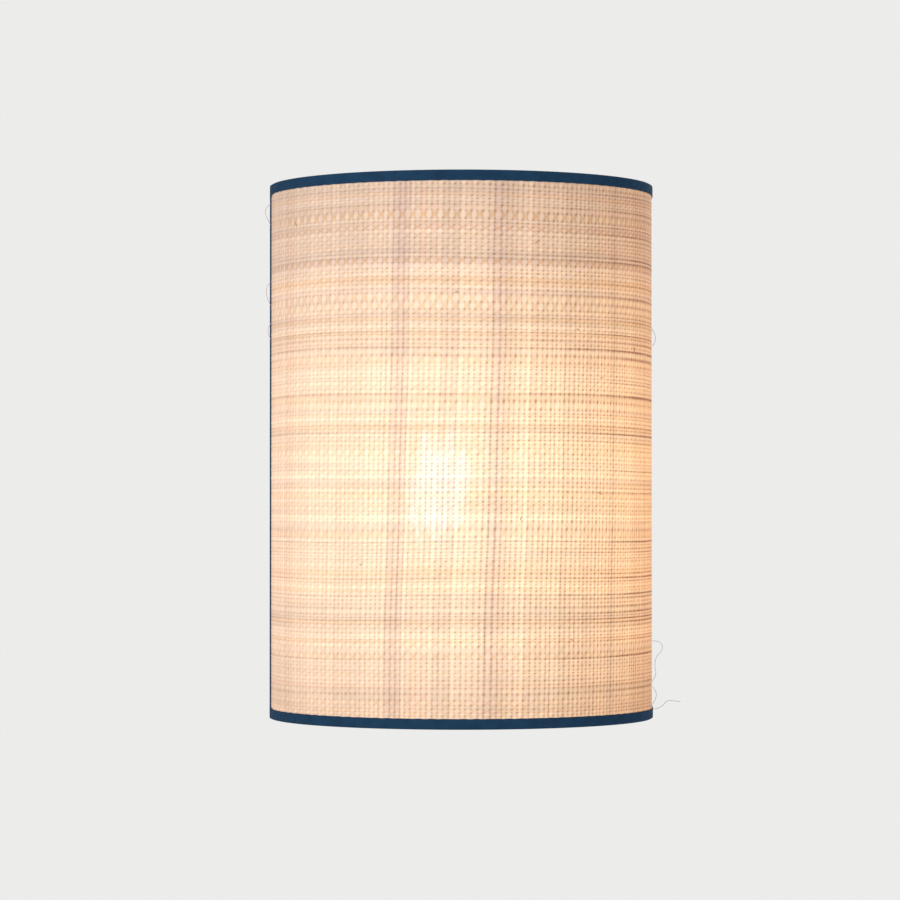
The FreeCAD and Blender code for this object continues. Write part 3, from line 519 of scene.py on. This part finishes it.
def raffia_strip(shape, number, own, crossing, dashes, upright):
    """Add one strip: a flat three-sided ribbon that goes over and under the strips that cross it.

    It carries the colour of the two leaves that the light comes through, the dark lines where leaves lap, and
    its way across and along the crossings, for the knots at their corners.
    """
    leaf, lines, corners = (shape.verts.layers.float_color[layer] for layer in LAYERS)
    flat = shape.loops.layers.uv["OFBake"]
    others = crossing.colours
    rows = [(crossing.edges[0], 0, others[0], crossing.lines[0], 0)]
    for count, (start, end) in enumerate(zip(crossing.edges, crossing.edges[1:])):
        over = (count + number) % 2 == (0 if upright else 1)
        rows.append(((start + end) / 2, WAVE if over else -WAVE, others[count], 0, dashes[count]))
        between = (others[count] + others[min(count + 1, len(others) - 1)]) / 2
        rows.append((end, 0, between, crossing.lines[count + 1], 0))
    low_edge, high_edge = own.edges[number:number + 2]
    middle = (low_edge + high_edge) / 2
    half = (high_edge - low_edge - GAP) / 2
    peak = middle + dice.uniform(-0.3, 0.3) * half
    strip = bmesh.ops.create_grid(shape, x_segments=3, y_segments=len(rows) - 1, size=0.5)["verts"]
    for face in {face for vert in strip for face in vert.link_faces}:
        for corner in face.loops:
            share = MAP_SHARES[round(3 * (corner.vert.co.x + 0.5))]
            corner[flat].uv = ((number + share) / len(own.lines), corner.vert.co.y + 0.5)
    for vert in strip:
        column = round(3 * (vert.co.x + 0.5))
        row = round((len(rows) - 1) * (vert.co.y + 0.5))
        spot, lift, other, cross_line, dash = rows[row]
        breadth = half * (PINCH if row % 2 == 0 else 1.0)
        side = (middle - breadth, peak, middle + breadth, middle - breadth)[column]
        height = lift + (CROWN if column == 1 else 0)
        vert.co = on_cloth(side, spot, height) if upright else on_cloth(spot, side, height)
        own_line = 0 if column == 1 else own.lines[number + (column == 2)]
        # Their product is 1 and -1 by turns at the corners of the crossings
        across = (1 - 2 * (number % 2)) * (middle - side) / breadth
        along = (1, 0, -1, 0)[row % 4]
        stain = Vector((1, 1 + dice.gauss(0, 0.015), 1 + dice.gauss(0, 0.03)))
        vert[leaf] = (*(own.colours[number] * other * stain * NATURAL.lerp(DASH, dash)), 1)
        vert[lines] = (own_line if upright else cross_line, cross_line if upright else own_line, 0, 1)
        vert[corners] = (across, along, 0, 1)
    bmesh.ops.remove_doubles(shape, verts=strip, dist=0.001 * MM)


# How dark the knot at every corner of a crossing is, and how much darker at every second one
EVERY_KNOT = 0.62
SECOND_KNOT = 0.38


def raffia_finish(name, stretch, colour):
    """Dried palm leaf with light behind it: pale in the middle of a strip, tan where strips lap.

    The lines between the warps are the greyest, and the knots where the strips' corners meet the most orange.
    These lines and knots are painted shade of the light behind the cloth, in the base colour as well as the
    glow.
    """
    finish, tree, surface = new_finish(name)
    leaf, lines, corners = (add(tree, "Attribute", attribute_name=layer).outputs["Color"] for layer in LAYERS)
    upright, level = add(tree, "SeparateColor", [lines]).outputs[:2]
    over, along = add(tree, "SeparateColor", [corners]).outputs[:2]
    corner = reckon(tree, "MULTIPLY", over, along)
    every = reckon(tree, "POWER", reckon(tree, "ABSOLUTE", corner), 2.0)
    second = reckon(tree, "POWER", reckon(tree, "MULTIPLY_ADD", corner, 0.5, 0.5), 3.0)
    knot = reckon(tree, "ADD", reckon(tree, "MULTIPLY", every, EVERY_KNOT),
                  reckon(tree, "MULTIPLY", second, SECOND_KNOT))
    spot = add(tree, "SeparateXYZ", [add(tree, "TexCoord").outputs["Object"]]).outputs
    across = spot["X"]
    # Painted shade: the lines darken more towards the right, where the light comes through the cloth at a
    # slant; the upright lines fade towards the sides and the top, and the level lines grow stronger to the
    # right.
    oblique_shade = ramp(tree, across, -0.1, 0.1, 0.62, 1.5)
    to_edge = ramp(tree, reckon(tree, "ABSOLUTE", across), 0.06, 0.105, 1.0, 0.6)
    to_top = ramp(tree, spot["Z"], -0.05, 0.09, 1.0, 0.72)
    warp_share = reckon(tree, "MULTIPLY", oblique_shade, reckon(tree, "MULTIPLY", to_edge, to_top))
    rightward = ramp(tree, across, 0.0, 0.1, 0.0, 1.0)
    weft_share = reckon(tree, "MULTIPLY_ADD", reckon(tree, "MULTIPLY", rightward, rightward), 2.3, 0.75)
    off_middle = reckon(tree, "ABSOLUTE", reckon(tree, "ADD", across, 0.008))
    greyer = ramp(tree, off_middle, 0.03, 0.055, 1.0, 0.0)
    warp_tan = tint(tree, greyer, rgb(0.396, 0.295, 0.300), rgb(0.36, 0.32, 0.43))
    shade = rgb(1.10, 1.10, 1.10)
    # Each kind of line: how sharp and dark it is, where it is stronger, its patches, and the tan it turns to
    for line, power, weight, share, patches, tan in (
            (upright, 2.5, 0.42, warp_share, (330, 330, 55), warp_tan),
            (level, 2.2, 0.23, weft_share, (50, 50, 430), rgb(0.428, 0.295, 0.282)),
            (knot, 1.0, 0.76, oblique_shade, (70, 70, 420), rgb(0.50, 0.30, 0.15))):
        dark = reckon(tree, "MULTIPLY", reckon(tree, "POWER", line, power), weight)
        dark = reckon(tree, "MULTIPLY", dark, share)
        dark = reckon(tree, "MULTIPLY", dark, spread(tree, grain(tree, 1.0, patches), 0.5, 1.4))
        shade = tint(tree, 1.0, shade, tint(tree, dark, rgb(1, 1, 1), tan), "MULTIPLY")
    shade = tint(tree, 1.0, shade, leaf, "MULTIPLY")
    fibre = spread(tree, grain(tree, 1.0, stretch, 3.0), 0.90, 1.08)
    bundle = spread(tree, grain(tree, 1.0, (12, 12, 230)), 0.92, 1.07)
    shade = tint(tree, 1.0, shade, reckon(tree, "MULTIPLY", fibre, bundle), "MULTIPLY")
    # The painted shade of the lines darkens the base colour too, not only the glow.
    feed(tree, surface.inputs["Base Color"], tint(tree, 1.0, shade, colour, "MULTIPLY"))
    feed(tree, surface.inputs["Emission Color"],
         tint(tree, 1.0, shade, lamp_glow(tree, 1.135, rgb(0.04, 0.14, 0.22)), "MULTIPLY"))
    surface.inputs["Emission Strength"].default_value = 1.0
    feed(tree, surface.inputs["Roughness"], spread(tree, grain(tree, 1.0, stretch), 0.5, 0.66))
    surface.inputs["Specular IOR Level"].default_value = 0.25
    return finish


def raffia_piece(name, finish, own, crossing, dashes, upright):
    """All the warps or all the wefts, as one piece."""
    cloth = bmesh.new()
    cloth.loops.layers.uv.new("OFBake")
    for layer in LAYERS:
        cloth.verts.layers.float_color.new(layer)
    for number in range(len(own.colours)):
        raffia_strip(cloth, number, own, crossing, dashes, upright)
    bmesh.ops.holes_fill(cloth, edges=[edge for edge in cloth.edges if edge.is_boundary], sides=3)
    return as_piece(name, cloth, finish, "shade", ["raffia_cover"], sharp=80)


def leaf_colour(tone, *tones):
    """A leaf's colour: a tone, and a touch of one of the other colours."""
    other = dice.choice(tones)
    return tone * NATURAL.lerp(other, dice.uniform(0, 0.75))


def nearest(edges, level):
    """The number of the edge that is nearest a height."""
    return min(range(len(edges)), key=lambda number: abs(edges[number] - level))


WARP_COUNT = 114
# The first warps of two groups of greyer leaf, with darker lines
GREY_WARP = 36
DARK_WARP = 54
warp_widths = [dice.triangular(2.4, 3.5, 2.95) * (1.15 - 0.0022 * number) * MM
               for number in range(WARP_COUNT)]
warp_widths[DARK_WARP] *= 1.1
warp_edges = laid(warp_widths, cloth_width)
warp_colours = [leaf_colour(dice.gauss(1.0, 0.04), NATURAL, NATURAL, NATURAL, ROSE) for width in warp_widths]
for number in (GREY_WARP, GREY_WARP + 1, GREY_WARP + 2, DARK_WARP, DARK_WARP + 1):
    warp_colours[number] = 0.985 * NATURAL.lerp(LILAC, 0.6)
warp_lines = [dice.triangular(0.72, 1.04, 0.88) for edge in warp_edges]
warp_lines[GREY_WARP:GREY_WARP + 4] = 1.12, 1.0, 1.12, 1.04
warp_lines[DARK_WARP:DARK_WARP + 3] = 1.14, 1.06, 0.98
weft_widths = []
while sum(weft_widths) < cloth_height:
    weft_widths += [dice.uniform(1.5, 2.6) * MM for strip in range(dice.randint(6, 11))]
    weft_widths += [dice.uniform(2.8, 4.8) * MM for strip in range(dice.randint(1, 2))]
weft_edges = [cloth_low.z + edge for edge in laid(weft_widths, cloth_height)]
# Bundles of paler or darker leaf: their height and half their breadth in millimetres, and how much paler
BANDS = ((106, 6, -0.05), (92, 5, 0.04), (69, 4, -0.05), (55, 5, -0.05), (36, 6, 0.05), (25, 4, -0.05),
         (18, 3, 0.04), (9, 4, -0.07), (-24, 5, -0.03), (-75, 3, 0.05), (-93, 5, -0.08), (-104, 4, 0.05),
         (-134, 5, -0.06))


def band_tone(level):
    """How much paler or darker a bundle of leaves was that the weaver used at a height."""
    return sum(amount * math.exp(-((level / MM - middle) / width) ** 2) for middle, width, amount in BANDS)


weft_colours = []
for level in weft_edges[:-1]:
    tone = 1.0 + band_tone(level) + dice.gauss(0, 0.022)
    weft_colours.append(leaf_colour(tone, NATURAL, NATURAL, ROSE, TAN, LILAC))
weft_lines = []
for level in weft_edges:
    weft_lines.append(dice.choice((0.5, 0.55, 0.65, 0.75, 0.85, 1.05)) - 3.0 * min(0, band_tone(level)))
# Heights, in millimetres, of single dark lines and of the strongest dashes
DARK_LEVELS = (62, 54, 29, 8, -51, -70, -78, -93, -112)
DASHED_LEVELS = (124, 118, 98)
for level in DARK_LEVELS:
    weft_lines[nearest(weft_edges, level * MM)] = 1.4
WIDE_WEFT = 2.7 * MM
weft_dashes = []
for low_edge, high_edge in zip(weft_edges, weft_edges[1:]):
    wide = high_edge - low_edge > WIDE_WEFT
    weft_dashes.append(dice.choice((0, 0.2, 0.4, 0.8) if wide else (0, 0, 0.4)))
for level in DASHED_LEVELS:
    weft_dashes[nearest(weft_edges[:-1], level * MM)] = 1.4

warps = Strips(warp_edges, warp_colours, warp_lines)
wefts = Strips(weft_edges, weft_colours, weft_lines)
warp_finish = raffia_finish("raffia warp", (2600, 2600, 40), rgb(0.385, 0.270, 0.202))
warp_piece = raffia_piece("raffia_warps", warp_finish, warps, wefts, weft_dashes, True)
weft_finish = raffia_finish("raffia weft", (40, 40, 2600), rgb(0.415, 0.300, 0.228))
weft_piece = raffia_piece("raffia_wefts", weft_finish, wefts, warps, [0] * WARP_COUNT, False)


# Navy tape
# Woven cotton tape, 0.4 mm thick, folded over the rims and the wall-side edges, round the wire inside, and
# glued. It is cut at the corners, where a short flap of the side tape lies over the end of the rim's.

ring_low, ring_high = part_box("top_ring")
wire_radius = (ring_high.z - ring_low.z) / 2
ring_radius = ring_high.x - wire_radius
ring_level = (ring_high.z + ring_low.z) / 2
tape_low, tape_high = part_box("top_binding")
TAPE = 0.4 * MM
HALF_EACH_WAY = 0
FOLD = 0.6 * MM
tape_reach = cloth_high.x + TAPE / 2
tape_top = tape_high.z - TAPE / 2
leg_length = tape_high.z - tape_low.z - TAPE
top_length = tape_reach - ring_radius
wrap = tape_top - ring_level
QUARTER = math.pi / 2
# The runs of the folded section: leg, fold, top, wrap and tail
TAPE_RUNS = (leg_length - FOLD, FOLD * QUARTER, top_length - FOLD, wrap * QUARTER, wire_radius)


def tape_fold(distance):
    """The folded tape's section: how far out and how far up, by the distance from its outer edge."""
    for number, run in enumerate(TAPE_RUNS):
        if distance <= run or number == len(TAPE_RUNS) - 1:
            break
        distance -= run
    if number == 0:
        return tape_reach, tape_top - leg_length + distance
    if number == 1:
        turn = distance / FOLD
        return tape_reach - FOLD * (1 - math.cos(turn)), tape_top - FOLD * (1 - math.sin(turn))
    if number == 2:
        return tape_reach - FOLD - distance, tape_top
    if number == 3:
        turn = distance / wrap
        return ring_radius - wrap * math.sin(turn), ring_level + wrap * math.cos(turn)
    return ring_radius - wrap, ring_level - distance


def tape_strip(shape, long, wide, lengthwise, crosswise, bend):
    """Add a flat strip of tape, keep its weave's coordinates, and bend it into place."""
    weave = shape.loops.layers.uv.get("weave") or shape.loops.layers.uv.new("weave")
    strip = bmesh.ops.create_grid(shape, x_segments=lengthwise, y_segments=crosswise, size=0.5)["verts"]
    for face in {face for vert in strip for face in vert.link_faces}:
        for corner in face.loops:
            corner[weave].uv = (corner.vert.co.x * long, corner.vert.co.y * wide)
    for vert in strip:
        vert.co = bend((vert.co.x + 0.5) * long, (vert.co.y + 0.5) * wide)


def tape_finish():
    """Cotton twill: fine slanting ribs in two blues, matt and slightly hairy."""
    finish, tree, surface = new_finish("navy tape")
    place = add(tree, "UVMap", uv_map="weave").outputs[0]
    turned = add(tree, "Mapping", {"Vector": place, "Rotation": (0, 0, math.radians(38))}).outputs[0]
    rib = add(tree, "TexWave", {"Vector": turned, "Scale": 340, "Distortion": 1.2, "Detail": 2.0,
                                "Detail Scale": 2.0}).outputs[1]
    cross = add(tree, "TexWave", {"Vector": place, "Scale": 520, "Distortion": 0.8},
                bands_direction="Y").outputs[1]
    thread = reckon(tree, "MULTIPLY", rib, reckon(tree, "MULTIPLY_ADD", cross, 0.5, 0.5))
    colour = tint(tree, thread, rgb(0.008, 0.030, 0.066), rgb(0.022, 0.070, 0.140))
    worn = spread(tree, grain(tree, 180), 0.85, 1.15)
    feed(tree, surface.inputs["Base Color"], tint(tree, 1.0, colour, worn, "MULTIPLY"))
    surface.inputs["Roughness"].default_value = 0.85
    surface.inputs["Specular IOR Level"].default_value = 0.06
    roughen(tree, surface, thread, 0.5, 0.15 * MM)
    return finish


navy = tape_finish()
rim_length = math.pi * tape_reach
rim_width = sum(TAPE_RUNS)
# How ragged the outer edge is, and how far and over what length it dips at the corners
RAGGED = 0.12 * MM
DIP = 2.4 * MM
DIP_REACH = 16 * MM


def rim_bend(sign):
    """Bend a tape round the top or the bottom rim. Its outer edge is ragged, and dips at both ends."""
    def bend(along, across):
        turn = along / tape_reach
        reach, level = tape_fold(across)
        ragged = RAGGED * math.sin(900 * along) * math.sin(131 * along + sign)
        dip = DIP * max(0, 1 - min(along, rim_length - along) / DIP_REACH) ** 2
        level += (ragged - dip) * max(0, 1 - across / leg_length)
        return -reach * math.cos(turn), axis_y - reach * math.sin(turn), sign * level
    return bend


for name, sign in (("top", 1), ("bottom", -1)):
    tape = bmesh.new()
    tape_strip(tape, rim_length, rim_width, 200, 22, rim_bend(sign))
    piece = as_piece(name + "_tape", tape, navy, "shade", [name + "_binding"], sharp=80)
    thicken(piece, TAPE, HALF_EACH_WAY)

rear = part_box("right_binding")[1].y - TAPE / 2
side_height = 2 * (tape_top - leg_length)
flap_length = tape_high.z - side_height / 2


def side_bend(sign):
    """Bend a tape over an edge at the wall. Its leg follows the round of the cloth."""
    def bend(along, across):
        out, back = tape_fold(across)
        depth = back - tape_top + rear
        if across < leg_length - FOLD:
            out = math.sqrt(tape_reach ** 2 - max(0, axis_y - depth) ** 2)
        return sign * out, depth, along - side_height / 2
    return bend


def flap_bend(sign, up):
    """Lay a side tape's flap flat on the wall's side of a corner."""
    def bend(along, across):
        return sign * (tape_reach - across), rear, up * (side_height / 2 + along)
    return bend


for name, sign in (("left", -1), ("right", 1)):
    tape = bmesh.new()
    tape_strip(tape, side_height, rim_width, 150, 22, side_bend(sign))
    for up in (-1, 1):
        tape_strip(tape, flap_length, top_length, 4, 3, flap_bend(sign, up))
    piece = as_piece(name + "_tape", tape, navy, "shade", [name + "_binding"], sharp=80)
    thicken(piece, TAPE, HALF_EACH_WAY)


# Stray fibres
# Loose ends of raffia that stand out at the two silhouettes, and a few slubs on the face of the cloth. They
# are the same dry leaf, split off in weaving and held by the strips round them.

def fibres(name, finish, thickness, lines):
    """Thin loose fibres along smooth lines, as one piece."""
    curve = bpy.data.curves.new(name, "CURVE")
    curve.dimensions = "3D"
    curve.bevel_depth = thickness / 2
    curve.bevel_resolution = 1
    curve.resolution_u = 6
    curve.use_fill_caps = True
    for line in lines:
        spline = curve.splines.new("NURBS")
        spline.points.add(len(line) - 1)
        for point, place in zip(spline.points, line):
            point.co = (*place, 1)
        spline.order_u = 3
        spline.use_endpoint_u = True
    passing = bpy.data.objects.new(name + "_line", curve)
    mesh = bpy.data.meshes.new_from_object(passing)
    bpy.data.objects.remove(passing)
    mesh.name = name
    mesh.materials.clear()
    mesh.materials.append(finish)
    piece = bpy.data.objects.new(name, mesh)
    bpy.context.scene.collection.objects.link(piece)
    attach(piece, "shade")


fibre_finish, tree, surface = new_finish("loose fibre")
feed(tree, surface.inputs["Base Color"],
     tint(tree, grain(tree, 500), rgb(0.36, 0.24, 0.14), rgb(0.60, 0.46, 0.30)))
surface.inputs["Roughness"].default_value = 0.55
# Points along each loose fibre, in millimetres
FIBRES = (
    ((-108.3, -9, 127), (-110.8, -10, 131), (-111.6, -9, 135), (-110.0, -8, 138), (-108.2, -9, 139)),
    ((-108.3, -8, 82), (-110.5, -9, 86), (-111.0, -9, 91), (-109.5, -8, 94), (-108.2, -8, 95)),
    ((-108.3, -9, 63), (-110.2, -11, 66), (-109.8, -12, 70), (-108.2, -11, 72)),
    ((108.2, -9, 70), (109.8, -12, 67), (110.0, -11, 62), (108.2, -10, 60)),
    ((108.2, -10, -107), (111.0, -12, -107), (113.8, -12, -109), (113.4, -12, -113), (110.0, -11, -116),
     (109.5, -10, -122), (110.6, -11, -126), (108.2, -10, -130)),
    ((108.2, -10, -133), (110.0, -11, -135), (110.6, -11, -139), (108.3, -10, -143)),
    ((108.2, -9, -146), (113.0, -12, -145), (116.0, -13, -140.5), (120.0, -13, -141), (124.0, -12, -141.5)),
)
fibres("loose_fibres", fibre_finish, 0.26 * MM, [[Vector(point) * MM for point in line] for line in FIBRES])

slub_finish, tree, surface = new_finish("slub")
feed(tree, surface.inputs["Base Color"],
     tint(tree, grain(tree, 900), rgb(0.30, 0.17, 0.08), rgb(0.50, 0.33, 0.18)))
surface.inputs["Roughness"].default_value = 0.6
# Painted light: the slubs glow faintly brown, standing in for the bulb's light that comes through them.
surface.inputs["Emission Color"].default_value = rgb(0.16, 0.07, 0.03)
surface.inputs["Emission Strength"].default_value = 1.0
# Each slub's share of the way round the cloth, and its height in millimetres
SLUBS = ((0.657, 65), (0.711, 39), (0.806, 56), (0.657, -103), (0.14, 124), (0.561, -38), (0.71, -24),
         (0.3, -62), (0.45, 84), (0.58, 112))
slubs = []
for share, level in SLUBS:
    slant = dice.uniform(0, 2 * math.pi)
    length = dice.uniform(1.4, 2.8) * MM
    slubs.append([on_cloth(share * cloth_width + side * length * math.cos(slant) / 2,
                           level * MM + side * length * math.sin(slant) / 2, (0.25 if side else 0.5) * MM)
                  for side in (-1, 0, 1)])
fibres("slubs", slub_finish, 0.6 * MM, slubs)


# Floor, light and camera
# A pale floor well below the lamp, an even pale surround, one soft lamp from the upper left and a broader,
# weaker one from behind on the right.

FLOOR_SIZE = 8.0
FLOOR_LEVEL = -1.3
floor_mesh = bmesh.new()
bmesh.ops.create_grid(floor_mesh, x_segments=1, y_segments=1, size=FLOOR_SIZE)
bmesh.ops.translate(floor_mesh, verts=floor_mesh.verts[:], vec=(0, 0, FLOOR_LEVEL))
mesh = bpy.data.meshes.new("floor")
floor_mesh.to_mesh(mesh)
floor_mesh.free()
floor = bpy.data.objects.new("floor", mesh)
bpy.context.scene.collection.objects.link(floor)
floor_finish, tree, surface = new_finish("pale floor")
surface.inputs["Base Color"].default_value = rgb(0.66, 0.66, 0.65)
surface.inputs["Roughness"].default_value = 0.8
surface.inputs["Emission Color"].default_value = rgb(1.0, 1.0, 0.99)
surface.inputs["Emission Strength"].default_value = 0.27
mesh.materials.append(floor_finish)

world = bpy.data.worlds.new("studio")
world.use_nodes = True
bpy.context.scene.world = world
tree = world.node_tree
path = add(tree, "LightPath")
seen = reckon(tree, "MAXIMUM", path.outputs["Is Camera Ray"], path.outputs["Is Transmission Ray"])
seen = reckon(tree, "MAXIMUM", seen, path.outputs["Is Glossy Ray"])
sky = tree.nodes["Background"]
feed(tree, sky.inputs["Color"], tint(tree, seen, rgb(0.62, 0.62, 0.62), rgb(0.84, 0.84, 0.83)))


def soft_lamp(name, place, width, power):
    """A round soft lamp that points at the middle of the object."""
    light = bpy.data.lights.new(name, "AREA")
    light.shape = "DISK"
    light.size = width
    light.energy = power
    lamp = bpy.data.objects.new(name, light)
    lamp.location = place
    lamp.rotation_euler = Vector(place).to_track_quat("Z", "Y").to_euler()
    bpy.context.scene.collection.objects.link(lamp)


soft_lamp("key", (-1.5, -1.9, 1.4), 0.9, 30.0)
soft_lamp("back", (1.2, 2.0, 1.0), 1.4, 16.0)

CAMERA_AZIMUTH = math.radians(-6.5)
CAMERA_RISE = math.radians(-0.77)
CAMERA_DISTANCE = 1.963
CAMERA_TARGET = Vector((-0.0061, 0, 0.0011))
camera = bpy.data.objects.new("camera", bpy.data.cameras.new("camera"))
camera.data.sensor_width = 36.0
camera.data.lens = 138.6
level_reach = math.cos(CAMERA_RISE)
aim = Vector((math.sin(CAMERA_AZIMUTH) * level_reach, -math.cos(CAMERA_AZIMUTH) * level_reach,
              math.sin(CAMERA_RISE)))
camera.location = CAMERA_TARGET + CAMERA_DISTANCE * aim
camera.rotation_euler = aim.to_track_quat("Z", "Y").to_euler()
bpy.context.scene.collection.objects.link(camera)
bpy.context.scene.camera = camera
bpy.context.scene.view_settings.view_transform = "Standard"
